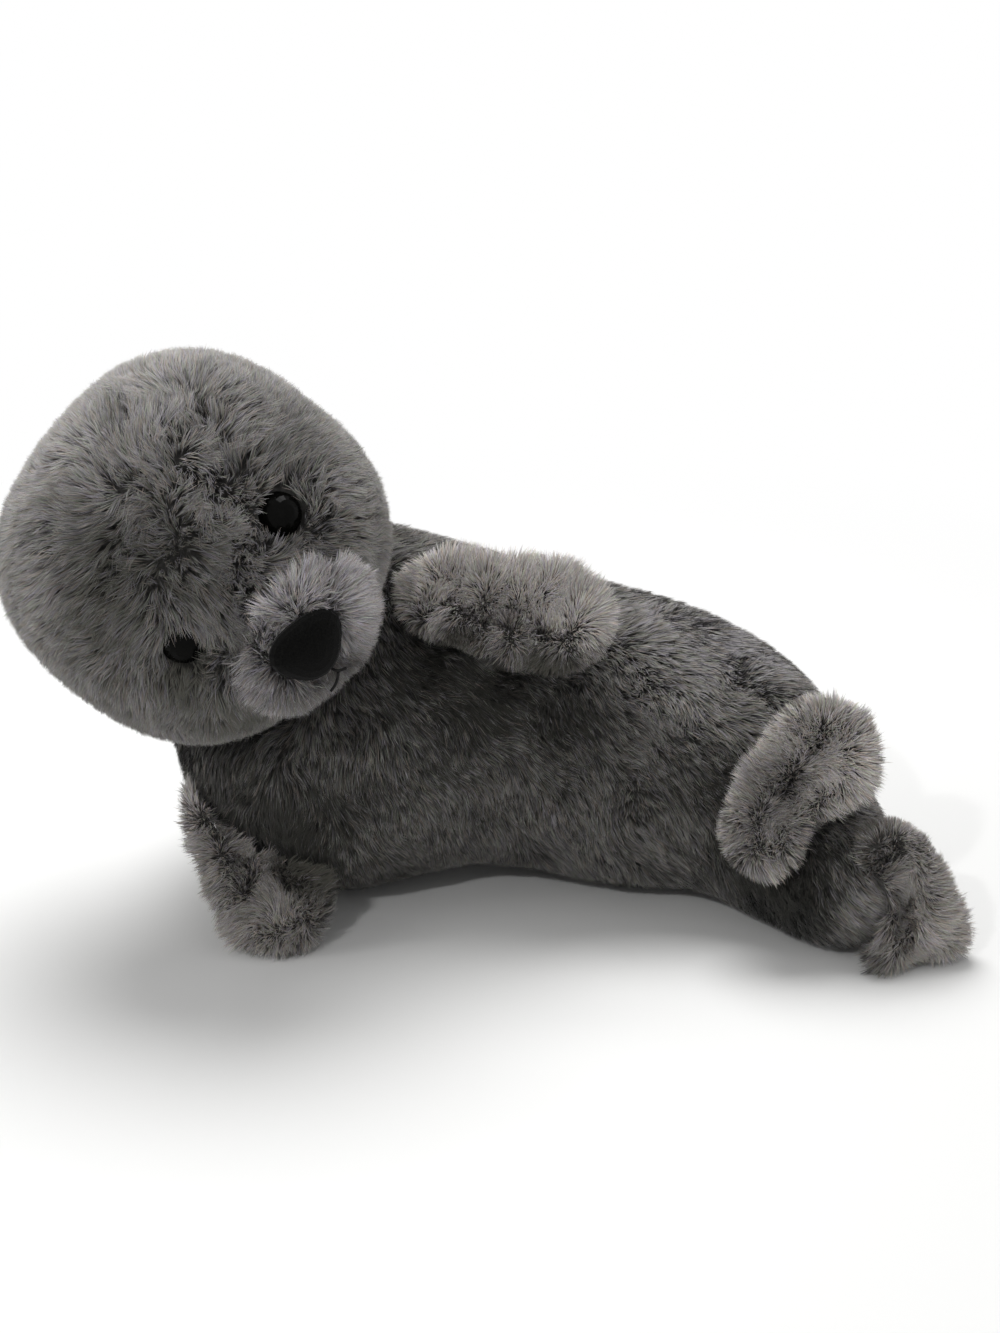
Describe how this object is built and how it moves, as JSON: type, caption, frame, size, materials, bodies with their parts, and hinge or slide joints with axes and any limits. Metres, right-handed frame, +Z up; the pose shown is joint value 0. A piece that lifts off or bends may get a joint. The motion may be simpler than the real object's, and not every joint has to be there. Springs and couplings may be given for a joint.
{
  "type": "plush sea lion toy",
  "caption": "Stuffed plush sea lion lying on its side with its head raised, short-pile fur, domed plastic eyes, a flocked nose, a round muzzle and cupped flippers.",
  "frame": {"origin": "middle of the footprint of the whole toy, on the floor", "axes": "+Z up, +X from the head end towards the tail, -Y towards the belly side, which faces the viewer"},
  "size_m": [0.273, 0.1566, 0.172],
  "materials": {
    "head_plush": "long soft grey pile, darker at the roots",
    "body_plush": "charcoal soft pile, grey at the tips",
    "muzzle_plush": "pale lilac-grey short pile",
    "flipper_plush": "warm grey soft pile",
    "nose_flock": "matte black flock",
    "eye_plastic": "polished black",
    "washer_plastic": "natural white moulded plastic"
  },
  "bodies": {
    "root": {"body": "body_plush", "head": "head_plush", "muzzle": "muzzle_plush", "nose": "nose_flock", "nose_washer": "washer_plastic", "eye_left": "eye_plastic", "eye_right": "eye_plastic", "eye_washer_left": "washer_plastic", "eye_washer_right": "washer_plastic", "left_front_flipper": "flipper_plush", "right_front_flipper": "flipper_plush", "left_rear_flipper": "flipper_plush", "right_rear_flipper": "flipper_plush"}
  },
  "joints": []
}
